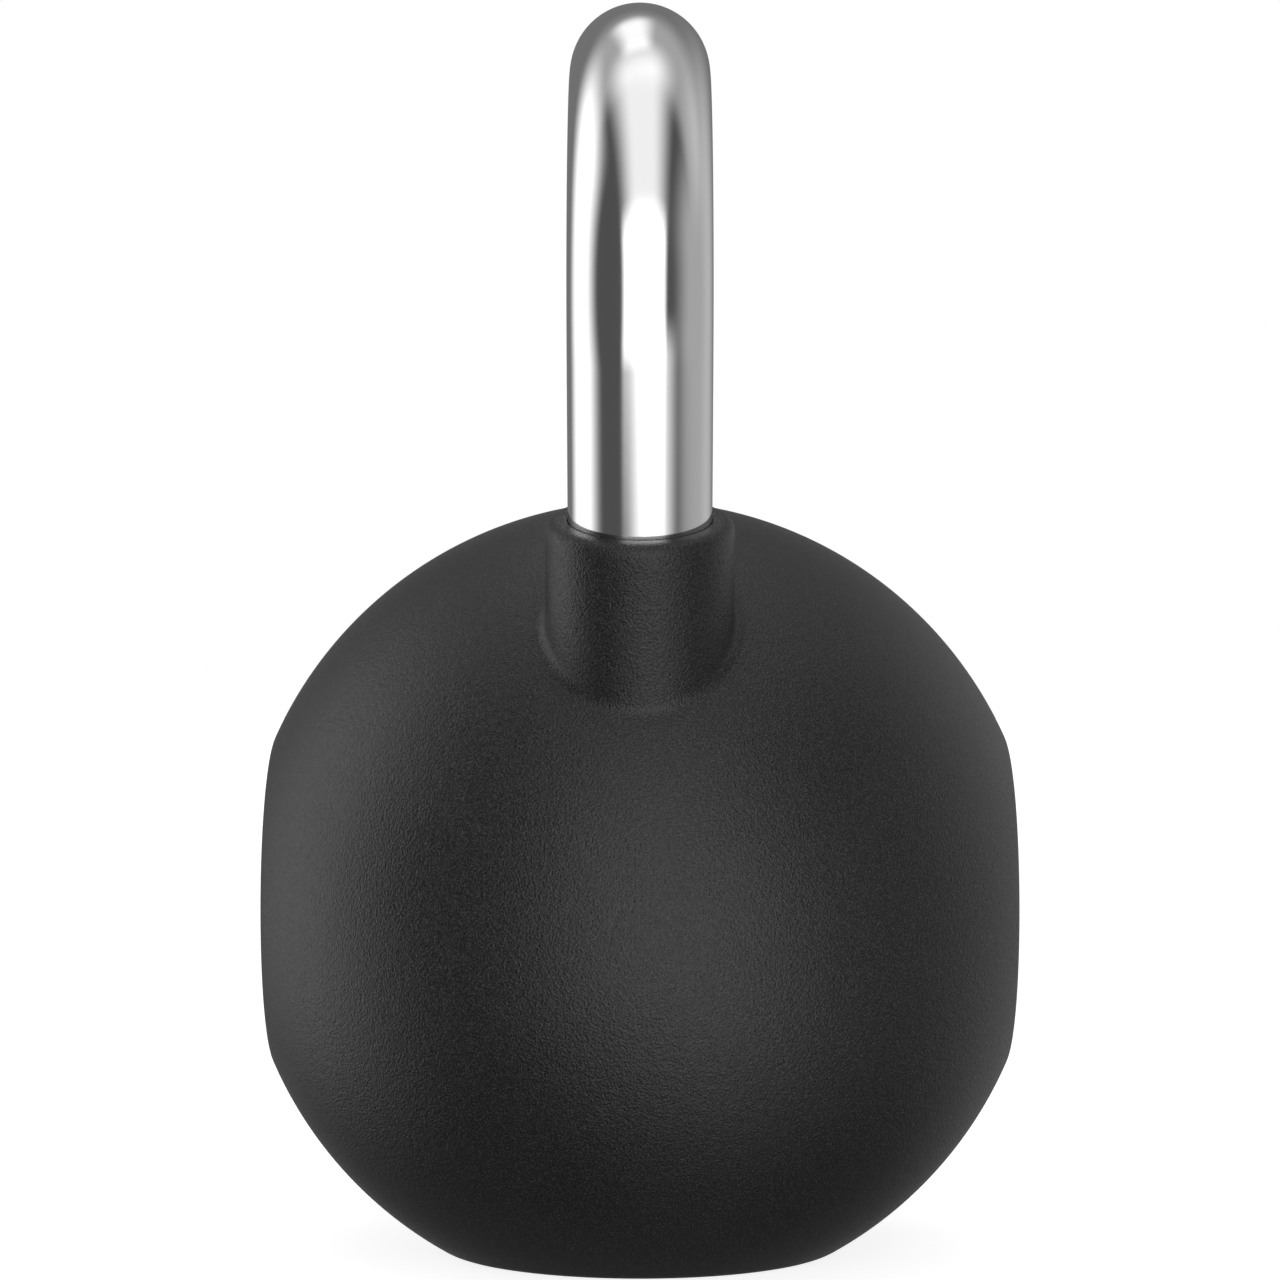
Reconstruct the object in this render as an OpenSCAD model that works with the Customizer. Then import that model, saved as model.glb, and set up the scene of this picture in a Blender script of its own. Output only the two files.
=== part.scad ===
// Kettlebell: a cast-iron ball in a moulded rubber cover, carried by a chrome-plated steel handle.
// Millimetres. The base stands on z = 0, the grip runs along X and the side flats face along Y.

/* [Ball] */
// Diameter over the rubber
ball_d = 190; // [150:1:240]
// Diameter of the flat disc that the ball stands on
base_flat_d = 91.4; // [60:0.2:120]
// Diameter of the flat disc on each side
side_flat_d = 76.6; // [40:0.2:100]
// Thickness of the rubber over the iron
rubber_t = 8; // [4:0.5:12]

/* [Handle] */
// Diameter of the steel bar
bar_d = 31.8; // [25:0.1:40]
// Overall width of the handle
handle_w = 210; // [170:1:260]
// Radius of the bar's centreline in each corner
bend_r = 51.6; // [40:0.2:64]
// Clear height for the hand, between the ball and the grip
hand_gap = 80; // [65:1:105]
// Lean of each leg, outward going up, in degrees
leg_lean = 18.3; // [12:0.1:22]
// Length of each leg that is cast into the iron
leg_bury = 42; // [30:1:52]

/* [Collars] */
// Wall of the rubber collar round each leg
collar_wall = 4.9; // [3.2:0.1:8]
// Height of the collar above the ball, along the leg
collar_rise = 22.8; // [16:0.2:30]
// Rounding of the collar's top edge
collar_round = 2.6; // [1:0.1:3]

/* [Anchor pins] */
// Diameter of the cross pin through each buried leg
pin_d = 8; // [5:0.5:12]
// Length of pin that stands out into the iron on each side of the leg
pin_reach = 12; // [8:1:18]
// Height of the pin above the leg's end
pin_up = 14; // [10:1:20]

/* [Hidden] */
$fn = 96;

// the iron is the ball's own shape, set in by the rubber's thickness on every face
ball_r = ball_d / 2;
core_r = ball_r - rubber_t;
ball_z = sqrt(ball_r * ball_r - base_flat_d * base_flat_d / 4);
side_y = sqrt(ball_r * ball_r - side_flat_d * side_flat_d / 4);

// the grip's height, and the centre of each corner's bend, measured from the ball's centre
grip_up = ball_r + hand_gap + bar_d / 2;
grip_half = handle_w / 2 - bar_d / 2 - bend_r;
bend_up = grip_up - bend_r;
bend_turn = 90 + leg_lean;

// bending draws the bar a hair thinner, and the straight lengths run a little way into each bend
bend_thin = 0.02;
bend_lap = 0.3;

// the leg's axis: its distance from the ball's centre, then heights along it from the nearest point
leg_off = bend_r + grip_half * cos(leg_lean) - bend_up * sin(leg_lean);
leg_top = grip_half * sin(leg_lean) + bend_up * cos(leg_lean);
leg_at_ball = sqrt(ball_r * ball_r - leg_off * leg_off);
leg_at_core = sqrt(core_r * core_r - leg_off * leg_off);
leg_end = leg_at_core - leg_bury;
collar_r = bar_d / 2 + collar_wall;
collar_top = leg_at_ball + collar_rise;
collar_l = collar_top - leg_end;
pin_l = bar_d + 2 * pin_reach;

// a ball with flats at its base and sides, standing off its own centre
module flatted_ball(radius, below, beside) {
    intersection() {
        sphere(r = radius);
        translate([-radius - 1, -beside, -below])
            cube([2 * radius + 2, 2 * beside, below + radius + 1]);
    }
}

// places its children at a height up the right leg's axis
module up_leg(height) {
    translate([0, 0, ball_z])
        rotate([0, leg_lean, 0])
            translate([leg_off, 0, height])
                children();
}

module both_sides() {
    children();
    mirror([1, 0, 0])
        children();
}

module core_form() {
    translate([0, 0, ball_z])
        flatted_ball(core_r, ball_z - rubber_t, side_y - rubber_t);
}

module leg() {
    up_leg(leg_end)
        cylinder(d = bar_d, h = leg_top + bend_lap - leg_end);
}

module corner() {
    translate([grip_half, 0, ball_z + bend_up])
        rotate([90, 0, 0])
            rotate([0, 0, -leg_lean])
                rotate_extrude(angle = bend_turn)
                    translate([bend_r, 0])
                        circle(r = bar_d / 2 - bend_thin);
}

module grip() {
    translate([0, 0, ball_z + grip_up])
        rotate([0, 90, 0])
            cylinder(d = bar_d, h = 2 * (grip_half + bend_lap), center = true);
}

module cross_pin() {
    up_leg(leg_end + pin_up)
        rotate([90, 0, 0])
            cylinder(d = pin_d, h = pin_l, center = true);
}

module collar() {
    up_leg(leg_end)
        rotate_extrude() {
            square([collar_r, collar_l - collar_round]);
            square([collar_r - collar_round, collar_l]);
            translate([collar_r - collar_round, collar_l - collar_round])
                circle(r = collar_round);
        }
}

module iron_core() {
    color("#3b3b3d")
        difference() {
            core_form();
            both_sides() {
                leg();
                cross_pin();
            }
        }
}

module rubber_cover() {
    color("#232323")
        difference() {
            union() {
                translate([0, 0, ball_z])
                    flatted_ball(ball_r, ball_z, side_y);
                both_sides()
                    collar();
            }
            core_form();
            both_sides()
                leg();
        }
}

module handle_bar() {
    color("#d6d8da")
        difference() {
            union() {
                grip();
                both_sides() {
                    corner();
                    leg();
                }
            }
            both_sides()
                cross_pin();
        }
}

module right_anchor_pin() {
    color("#8c8f92")
        cross_pin();
}

module left_anchor_pin() {
    color("#8c8f92")
        mirror([1, 0, 0])
            cross_pin();
}

iron_core();
rubber_cover();
handle_bar();
right_anchor_pin();
left_anchor_pin();
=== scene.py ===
import bpy, bmesh
from math import sin, cos, pi, radians, sqrt, atan2, acos
from mathutils import Vector, Matrix


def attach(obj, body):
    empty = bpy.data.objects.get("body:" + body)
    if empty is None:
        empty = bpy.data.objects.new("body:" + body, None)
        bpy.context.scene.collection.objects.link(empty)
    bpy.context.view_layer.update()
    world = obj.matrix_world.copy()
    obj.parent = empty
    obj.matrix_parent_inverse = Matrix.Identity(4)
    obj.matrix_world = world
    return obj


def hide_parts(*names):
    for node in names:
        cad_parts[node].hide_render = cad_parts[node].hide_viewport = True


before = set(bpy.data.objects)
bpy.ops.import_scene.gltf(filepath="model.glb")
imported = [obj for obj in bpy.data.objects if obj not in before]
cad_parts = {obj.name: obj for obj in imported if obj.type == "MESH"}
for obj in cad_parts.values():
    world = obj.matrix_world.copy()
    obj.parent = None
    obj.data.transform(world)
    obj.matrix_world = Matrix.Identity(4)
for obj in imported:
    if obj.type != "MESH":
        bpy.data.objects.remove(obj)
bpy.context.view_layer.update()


# shader helpers: a socket that takes sums, and a sheet of nodes that places them
class Wire:
    def __init__(self, sheet, socket):
        self.sheet, self.socket = sheet, socket

    def maths(self, operation, *terms):
        return self.sheet.add("ShaderNodeMath", {"operation": operation}, dict(enumerate(terms)))

    def __add__(self, other): return self.maths("ADD", self, other)
    def __radd__(self, other): return self.maths("ADD", other, self)
    def __mul__(self, other): return self.maths("MULTIPLY", self, other)
    def __rmul__(self, other): return self.maths("MULTIPLY", other, self)
    def __abs__(self): return self.maths("ABSOLUTE", self)


class Sheet:
    def __init__(self, tree):
        self.tree = tree
        tree.nodes.clear()

    def add(self, kind, settings=None, sockets=None, output=0):
        node = self.tree.nodes.new(kind)
        for name, value in (settings or {}).items():
            setattr(node, name, value)
        for name, value in (sockets or {}).items():
            if isinstance(value, Wire):
                self.tree.links.new(value.socket, node.inputs[name])
            else:
                node.inputs[name].default_value = value
        return Wire(self, node.outputs[output]) if len(node.outputs) else None

    def place(self):
        return self.add("ShaderNodeTexCoord", output="Object")

    def noise(self, where, scale, detail=2.0, rough=0.5):
        sockets = {"Vector": where, "Scale": scale, "Detail": detail, "Roughness": rough}
        return self.add("ShaderNodeTexNoise", {"normalize": True}, sockets)

    def between(self, value, low, high, toLow, toHigh):
        sockets = {"Value": value, 1: low, 2: high, 3: toLow, 4: toHigh}
        return self.add("ShaderNodeMapRange", {"interpolation_type": "SMOOTHSTEP"}, sockets)

    def blend(self, amount, first, second):
        return self.add("ShaderNodeMix", {"data_type": "RGBA"}, {0: amount, 6: first, 7: second}, output=2)

    def bump(self, height, distance, strength=1.0):
        return self.add("ShaderNodeBump", {}, {"Height": height, "Distance": distance, "Strength": strength})

    def surface(self, sockets):
        shader = self.add("ShaderNodeBsdfPrincipled", {}, sockets)
        self.add("ShaderNodeOutputMaterial", {}, {"Surface": shader})


def material(name):
    made = bpy.data.materials.new(name)
    made.use_nodes = True
    return made, Sheet(made.node_tree)


def colour(red, green, blue):
    return (red, green, blue, 1.0)


# moulded rubber: a fine even grain, with a slightly uneven bloom
rubberLook = {"dark": (0.0085, 0.0085, 0.009), "bloom": (0.012, 0.012, 0.0125), "speck": (0.036, 0.036, 0.037),
              "bloomScale": 26.0, "bloomFrom": 0.35, "bloomTo": 0.7, "speckFrom": 0.46, "speckTo": 0.72,
              "rough": 0.19, "bloomRough": 0.05, "grainRough": 0.03, "shine": 0.42,
              "grain": 2000.0, "pebble": 0.5, "dust": 1.3, "grainShare": 0.7, "depth": 0.0003}


def rubberSkin():
    made, sheet = material("moulded_rubber")
    look = rubberLook
    where = sheet.place()
    grain = sheet.noise(where, look["grain"], 2.0, 0.6)
    pebble = sheet.noise(where, look["grain"] * look["pebble"], 1.0)
    dust = sheet.noise(where, look["grain"] * look["dust"], 1.0)
    bloom = sheet.noise(where, look["bloomScale"], 4.0, 0.6)
    height = grain * look["grainShare"] + pebble * (1 - look["grainShare"])
    plain = sheet.blend(sheet.between(bloom, look["bloomFrom"], look["bloomTo"], 0.0, 1.0),
                        colour(*look["dark"]), colour(*look["bloom"]))
    specks = sheet.between(dust, look["speckFrom"], look["speckTo"], 0.0, 1.0)
    sheet.surface({
        "Base Color": sheet.blend(specks, plain, colour(*look["speck"])),
        "Roughness": look["rough"] + bloom * look["bloomRough"] + grain * look["grainRough"],
        "Specular IOR Level": look["shine"],
        "Normal": sheet.bump(height, look["depth"]),
    })
    return made


# chrome plate over polished steel, hardly marked
chromeLook = {"tint": (0.9, 0.9, 0.9), "rough": 0.085, "smear": 38.0, "smearFrom": 0.45, "smearTo": 0.75,
              "smearRough": 0.02, "wave": 0.00003}


def chromePlate():
    made, sheet = material("chrome_plate")
    look = chromeLook
    smear = sheet.noise(sheet.place(), look["smear"], 4.0, 0.55)
    dulled = sheet.between(smear, look["smearFrom"], look["smearTo"], 0.0, look["smearRough"])
    sheet.surface({
        "Base Color": colour(*look["tint"]),
        "Metallic": 1.0,
        "Roughness": look["rough"] + dulled,
        "Normal": sheet.bump(smear, look["wave"]),
    })
    return made


# sand-cast iron, with patches of scale
ironLook = {"bare": (0.055, 0.054, 0.055), "scale": (0.09, 0.08, 0.074), "scaleSize": 45.0, "scaleFrom": 0.4,
            "scaleTo": 0.65, "metal": 0.75, "rough": 0.62, "scaleRough": 0.2, "sand": 620.0, "depth": 0.0005}


def castIron():
    made, sheet = material("cast_iron")
    look = ironLook
    where = sheet.place()
    sand = sheet.noise(where, look["sand"], 5.0, 0.65)
    scale = sheet.noise(where, look["scaleSize"], 4.0, 0.6)
    sheet.surface({
        "Base Color": sheet.blend(sheet.between(scale, look["scaleFrom"], look["scaleTo"], 0.0, 1.0),
                                  colour(*look["bare"]), colour(*look["scale"])),
        "Metallic": look["metal"],
        "Roughness": look["rough"] + scale * look["scaleRough"],
        "Normal": sheet.bump(sand, look["depth"]),
    })
    return made


# drawn steel, its lines running along the pin
pinLook = {"tint": (0.5, 0.51, 0.52), "lines": 2600.0, "stretch": 0.06, "rough": 0.24, "lineRough": 0.16,
           "depth": 0.00004}


def pinSteel():
    made, sheet = material("pin_steel")
    look = pinLook
    where = sheet.add("ShaderNodeMapping", {}, {"Vector": sheet.place(), "Scale": (1.0, look["stretch"], 1.0)})
    drawn = sheet.noise(where, look["lines"], 3.0)
    sheet.surface({
        "Base Color": colour(*look["tint"]),
        "Metallic": 1.0,
        "Roughness": look["rough"] + drawn * look["lineRough"],
        "Normal": sheet.bump(drawn, look["depth"]),
    })
    return made


# the ball: its skin, its three flats and the rounding where each flat meets the round
ball = {"radius": 0.095, "rubber": 0.008, "baseFlat": 0.0914, "sideFlat": 0.0766,
        "baseRound": 0.0088, "sideRound": 0.0069, "liningRound": 0.0002, "fineness": 7, "liningFineness": 6,
        "bands": 4, "liningBands": 1, "weld": 0.00012}
centreUp = sqrt(ball["radius"] ** 2 - ball["baseFlat"] ** 2 / 4)
sideOut = sqrt(ball["radius"] ** 2 - ball["sideFlat"] ** 2 / 4)
flats = ((Vector((0, 0, -1)), centreUp, ball["baseRound"]),
         (Vector((0, 1, 0)), sideOut, ball["sideRound"]),
         (Vector((0, -1, 0)), sideOut, ball["sideRound"]))

# the handle: a round bar bent to a closed bow, its legs leaning out as they rise
bow = {"bore": 0.0159, "bar": 0.01585, "width": 0.210, "bend": 0.0516, "hand": 0.080,
       "lean": radians(18.3), "buried": 0.042, "around": 96, "bendSteps": 72}
barRadius = bow["bore"]  # what the rubber closes on; the bar shows a hair thinner
gripUp = ball["radius"] + bow["hand"] + barRadius
gripHalf = bow["width"] / 2 - barRadius - bow["bend"]
bendUp = gripUp - bow["bend"]
legOff = bow["bend"] + gripHalf * cos(bow["lean"]) - bendUp * sin(bow["lean"])
legTop = gripHalf * sin(bow["lean"]) + bendUp * cos(bow["lean"])
coreRadius = ball["radius"] - ball["rubber"]
legEnd = sqrt(coreRadius ** 2 - legOff ** 2) - bow["buried"]
# the leg's own axes, from the ball's centre: Z runs up the leg and X points outward
upLeg = Matrix.Rotation(bow["lean"], 4, "Y") @ Matrix.Translation((legOff, 0, 0))
upFromFloor = Matrix.Translation((0, 0, centreUp))

# the collar, and the gaps that are left round it and its bore for the shell to be stitched across
collar = {"wall": 0.0049, "rise": 0.0228, "edge": 0.0026, "lip": 0.0003, "fillet": 0.0038, "around": 160,
          "lipSteps": 3, "edgeSteps": 8, "wallSteps": 8, "filletSteps": 8, "gap": 0.0012, "boreGap": 0.0015}
collarRadius = barRadius + collar["wall"]
collarTop = sqrt(ball["radius"] ** 2 - legOff ** 2) + collar["rise"]


def bandOf(radius, reach, rounding):
    # angles from a flat's axis where its rounding starts on the flat and ends on the ball
    across = sqrt((radius - rounding) ** 2 - (reach - rounding) ** 2)
    return atan2(across, reach), atan2(across, reach - rounding)


def skinReach(direction, setIn):
    # how far the skin lies from the ball's centre along a direction
    radius = ball["radius"] - setIn
    for axis, out, rounding in flats:
        reach = out - setIn
        rounding = ball["liningRound"] if setIn else rounding
        angle = acos(max(-1.0, min(1.0, direction.dot(axis))))
        inner, outer = bandOf(radius, reach, rounding)
        if angle < inner:
            return reach / cos(angle)
        if angle < outer:
            across = (radius - rounding) * cos(angle - outer)
            return across + sqrt(across ** 2 - (radius - rounding) ** 2 + rounding ** 2)
    return radius


def everything(bm):
    return bm.verts[:] + bm.edges[:] + bm.faces[:]


def roundShell(setIn, fineness, bands):
    # a ball with its flats, cut where each rounding bends and then pulled to the skin's shape
    bm = bmesh.new()
    radius = ball["radius"] - setIn
    bmesh.ops.create_icosphere(bm, subdivisions=fineness, radius=radius)
    for axis, out, rounding in flats:
        inner, outer = bandOf(radius, out - setIn, ball["liningRound"] if setIn else rounding)
        for step in range(bands + 1):
            angle = inner + (outer - inner) * step / bands
            bmesh.ops.bisect_plane(bm, geom=everything(bm), dist=1e-7,
                                   plane_co=axis * radius * cos(angle), plane_no=axis)
    bmesh.ops.remove_doubles(bm, verts=bm.verts, dist=ball["weld"])
    for vert in bm.verts:
        direction = vert.co.normalized()
        vert.co = direction * skinReach(direction, setIn)
    return bm


def alongLeg(radius, out, turn):
    # height up the leg where a line beside it leaves a ball of this radius
    return sqrt(radius ** 2 - (legOff + out * cos(turn)) ** 2 - (out * sin(turn)) ** 2)


def filletPoint(turn, share):
    # a rolled fillet between the collar's wall and the ball: share 0 on the wall, 1 on the ball
    size = collar["fillet"]
    out = collarRadius + size
    centre = Vector((out * cos(turn), out * sin(turn), alongLeg(ball["radius"] + size, out, turn)))
    toWall = Vector((-cos(turn), -sin(turn), 0))
    toBall = -(centre + Vector((legOff, 0, 0))).normalized()
    return centre + toWall.slerp(toBall, share) * size


def collarStations():
    # rings from the bore's foot, over the top of the collar and down to the ball
    def ring(out, up):
        return lambda turn: Vector((out * cos(turn), out * sin(turn), up))

    lip, edge = collar["lip"], collar["edge"]
    yield lambda turn: Vector((barRadius * cos(turn), barRadius * sin(turn), alongLeg(coreRadius, barRadius, turn)))
    for step in range(collar["lipSteps"] + 1):
        angle = pi / 2 * step / collar["lipSteps"]
        yield ring(barRadius + lip * (1 - cos(angle)), collarTop - lip * (1 - sin(angle)))
    for step in range(collar["edgeSteps"] + 1):
        angle = pi / 2 * step / collar["edgeSteps"]
        yield ring(collarRadius - edge * (1 - sin(angle)), collarTop - edge * (1 - cos(angle)))
    for step in range(1, collar["wallSteps"]):
        share = step / collar["wallSteps"]
        yield lambda turn, share=share: Vector((
            collarRadius * cos(turn), collarRadius * sin(turn),
            (collarTop - edge) * (1 - share) + filletPoint(turn, 0).z * share))
    for step in range(collar["filletSteps"] + 1):
        yield lambda turn, share=step / collar["filletSteps"]: filletPoint(turn, share)


def freshVerts(grown):
    return [part for part in grown if isinstance(part, bmesh.types.BMVert)]


def freshEdges(grown):
    # the far edges of an extrusion, leaving out the ones that join it to where it began
    fresh = set(freshVerts(grown))
    return [part for part in grown if isinstance(part, bmesh.types.BMEdge) and set(part.verts) <= fresh]


def growRings(stations, around):
    # extrudes one ring from station to station
    bm = bmesh.new()
    ring = bmesh.ops.create_circle(bm, cap_ends=False, segments=around, radius=0.01)["verts"]
    edges = bm.edges[:]
    for number, station in enumerate(stations):
        if number:
            grown = bmesh.ops.extrude_edge_only(bm, edges=edges)["geom"]
            ring, edges = freshVerts(grown), freshEdges(grown)
        for vert in ring:
            vert.co = station(atan2(vert.co.y, vert.co.x))
    return bm


def joinIn(bm, other):
    parked = bpy.data.meshes.new("parked")
    other.to_mesh(parked)
    other.free()
    bm.from_mesh(parked)
    bpy.data.meshes.remove(parked)


def clearRound(bm, gap):
    # opens the shell round the right leg, leaving a gap to be stitched
    downLeg = upLeg.inverted()
    doomed = []
    for vert in bm.verts:
        here = downLeg @ vert.co
        if here.z > 0 and here.xy.length < gap:
            doomed.append(vert)
    bmesh.ops.delete(bm, geom=doomed, context="VERTS")


def stitch(bm, isOuter):
    # closes the band between the right leg's ring and the shell's ragged edge
    middle = ball["radius"] - ball["rubber"] / 2
    edges = [edge for edge in bm.edges if edge.is_boundary and (edge.verts[0].co.length > middle) == isOuter]
    axis = upLeg.to_3x3() @ Vector((0, 0, 1))
    bmesh.ops.triangle_fill(bm, use_beauty=True, use_dissolve=False, edges=edges, normal=axis)


halving = {"snap": 5e-5, "cut": 1e-6, "merge": 2e-6, "dissolve": 2e-5}


def mirrorOver(bm):
    # keeps the right half and makes the left from it, so both collars are alike
    for vert in bm.verts:
        if abs(vert.co.x) < halving["snap"]:
            vert.co.x = 0.0
    bmesh.ops.bisect_plane(bm, geom=everything(bm), dist=halving["cut"],
                           plane_co=(0, 0, 0), plane_no=(1, 0, 0), clear_inner=True)
    bmesh.ops.mirror(bm, geom=everything(bm), merge_dist=halving["merge"], axis="X")
    bmesh.ops.dissolve_degenerate(bm, dist=halving["dissolve"], edges=bm.edges[:])
    bmesh.ops.triangulate(bm, faces=[face for face in bm.faces if len(face.verts) > 3])


def finished(bm, name, look, replaced=()):
    bmesh.ops.recalc_face_normals(bm, faces=bm.faces)
    loose = sum(1 for edge in bm.edges if len(edge.link_faces) != 2)
    for face in bm.faces:
        face.smooth = True
    mesh = bpy.data.meshes.new(name)
    bm.to_mesh(mesh)
    bm.free()
    piece = bpy.data.objects.new(name, mesh)
    bpy.context.scene.collection.objects.link(piece)
    mesh.materials.append(look)
    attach(piece, "root")
    if replaced:
        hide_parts(*replaced)
    triangles = sum(len(face.vertices) - 2 for face in mesh.polygons)
    print(name, triangles, "triangles,", loose, "open edges")
    return piece


def rubberJacket():
    bm = roundShell(0, ball["fineness"], ball["bands"])
    clearRound(bm, collarRadius + collar["fillet"] + collar["gap"])
    lining = roundShell(ball["rubber"], ball["liningFineness"], ball["liningBands"])
    clearRound(lining, barRadius + collar["boreGap"])
    joinIn(bm, lining)
    sleeve = growRings(collarStations(), collar["around"])
    bmesh.ops.transform(sleeve, matrix=upLeg, verts=sleeve.verts)
    joinIn(bm, sleeve)
    stitch(bm, True)
    stitch(bm, False)
    mirrorOver(bm)
    bmesh.ops.transform(bm, matrix=upFromFloor, verts=bm.verts)
    return finished(bm, "rubber_jacket", rubberSkin(), ["rubber_cover"])


def chromeBow():
    bm = bmesh.new()
    ring = bmesh.ops.create_circle(bm, cap_ends=False, segments=bow["around"], radius=bow["bar"])["verts"]
    edges = bm.edges[:]
    bmesh.ops.transform(bm, matrix=upLeg @ Matrix.Translation((0, 0, legEnd)), verts=ring)
    rise = upLeg.to_3x3() @ Vector((0, 0, 1))

    def push(edges, by):
        grown = bmesh.ops.extrude_edge_only(bm, edges=edges)["geom"]
        bmesh.ops.translate(bm, vec=by, verts=freshVerts(grown))
        return freshEdges(grown)

    def bend(edges, centre):
        geom = edges + list(dict.fromkeys(vert for edge in edges for vert in edge.verts))
        turned = bmesh.ops.spin(bm, geom=geom, cent=centre, axis=(0, -1, 0), angle=pi / 2 + bow["lean"],
                                steps=bow["bendSteps"], use_merge=False, use_duplicate=False)["geom_last"]
        return [part for part in turned if isinstance(part, bmesh.types.BMEdge)]

    buriedTop = sqrt(coreRadius ** 2 - legOff ** 2)
    lengths = (buriedTop - legEnd, collarTop - buriedTop, legTop - collarTop)
    for length in lengths:
        edges = push(edges, rise * length)
    edges = bend(edges, (gripHalf, 0, bendUp))
    edges = push(edges, Vector((-2 * gripHalf, 0, 0)))
    edges = bend(edges, (-gripHalf, 0, bendUp))
    fall = Vector((rise.x, 0, -rise.z))
    for length in reversed(lengths):
        edges = push(edges, fall * length)
    bmesh.ops.holes_fill(bm, edges=[edge for edge in bm.edges if edge.is_boundary], sides=0)
    bmesh.ops.transform(bm, matrix=upFromFloor, verts=bm.verts)
    return finished(bm, "chrome_bow", chromePlate(), ["handle_bar"])


def dress(node, look):
    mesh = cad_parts[node].data
    mesh.materials.clear()
    mesh.materials.append(look)


print("rubber")
rubberJacket()
print("handle")
chromeBow()
print("iron and pins")
dress("iron_core", castIron())
steel = pinSteel()
dress("right_anchor_pin", steel)
dress("left_anchor_pin", steel)


# soft studio all round, in degrees: azimuth 0 is the camera's side and 90 is its right
softBoxes = {
    "front": {"azimuth": 7, "elevation": -3, "wide": 33, "high": 30, "soft": (9, 22), "strength": 1.3},
    "low": {"azimuth": 26, "elevation": -38, "wide": 27, "high": 22, "soft": (28, 20), "strength": 0.75},
    "sweep": {"azimuth": 8, "elevation": 62, "wide": 26, "high": 42, "soft": (30, 26), "strength": 0.88},
    "dome": {"azimuth": 180, "elevation": 66, "wide": 60, "high": 22, "soft": (40, 24), "strength": 0.22},
    "far": {"azimuth": -172, "elevation": 60, "wide": 10, "high": 13, "soft": (12, 10), "strength": 0.7},
    "brim": {"azimuth": 180, "elevation": 26, "wide": 60, "high": 52, "soft": (24, 30), "strength": 0.09},
    "left": {"azimuth": -106, "elevation": 6, "wide": 23, "high": 35, "soft": (30, 30), "strength": 1.25},
    "right": {"azimuth": 110, "elevation": 3, "wide": 42, "high": 30, "soft": (38, 34), "strength": 0.32},
}
studioFill = 0.08  # light from everywhere else


def studio():
    world = bpy.data.worlds.new("studio")
    world.use_nodes = True
    sheet = Sheet(world.node_tree)
    facing = sheet.add("ShaderNodeTexCoord", output="Generated")
    light = 0.0
    for box in softBoxes.values():
        turn = Matrix.Rotation(radians(box["azimuth"]), 3, "Z") @ Matrix.Rotation(-radians(box["elevation"]), 3, "Y")
        ahead, across, above = (sheet.add("ShaderNodeVectorMath", {"operation": "DOT_PRODUCT"},
                                          {0: facing, 1: turn.col[axis]}, output="Value") for axis in range(3))
        sideways = abs(across.maths("ARCSINE", across))
        upright = abs(above.maths("ARCTAN2", above, ahead))
        share = [sheet.between(angle, radians(size - soft / 2), radians(size + soft / 2), 1.0, 0.0)
                 for angle, size, soft in zip((sideways, upright), (box["wide"], box["high"]), box["soft"])]
        light = share[0] * share[1] * box["strength"] + light
    shown = sheet.add("ShaderNodeBackground", {}, {"Color": colour(1, 1, 1), "Strength": 1.0})
    lit = sheet.add("ShaderNodeBackground", {}, {"Color": colour(1, 1, 1), "Strength": light + studioFill})
    seen = sheet.add("ShaderNodeLightPath", output="Is Camera Ray")
    mixed = sheet.add("ShaderNodeMixShader", {}, {0: seen, 1: lit, 2: shown})
    sheet.add("ShaderNodeOutputWorld", {}, {"Surface": mixed})
    bpy.context.scene.world = world


floorLook = {"size": 6.0, "paint": 0.5, "rough": 0.9, "glow": 0.85}


def studioFloor():
    bm = bmesh.new()
    bmesh.ops.create_grid(bm, x_segments=1, y_segments=1, size=floorLook["size"])
    mesh = bpy.data.meshes.new("floor")
    bm.to_mesh(mesh)
    bm.free()
    floor = bpy.data.objects.new("floor", mesh)
    bpy.context.scene.collection.objects.link(floor)
    made, sheet = material("floor_paint")
    paint = floorLook["paint"]
    sheet.surface({"Base Color": colour(paint, paint, paint), "Roughness": floorLook["rough"],
                   "Specular IOR Level": 0.0, "Emission Color": colour(1, 1, 1),
                   "Emission Strength": floorLook["glow"]})
    mesh.materials.append(made)
    # the floor is a plain sheet for the eye: it throws no light back up at the ball
    floor.visible_diffuse = floor.visible_glossy = floor.visible_shadow = False


view = {"lens": 104.7, "sensor": 36.0, "back": 0.8896, "up": 0.0618}  # "up" is from the ball's centre


def stillCamera():
    data = bpy.data.cameras.new("camera")
    data.lens, data.sensor_width = view["lens"], view["sensor"]
    camera = bpy.data.objects.new("camera", data)
    camera.location = (view["back"], 0, centreUp + view["up"])
    camera.rotation_euler = (pi / 2, 0, pi / 2)
    bpy.context.scene.collection.objects.link(camera)
    bpy.context.scene.camera = camera


print("studio")
studio()
studioFloor()
stillCamera()
bpy.context.scene.view_settings.view_transform = "Standard"
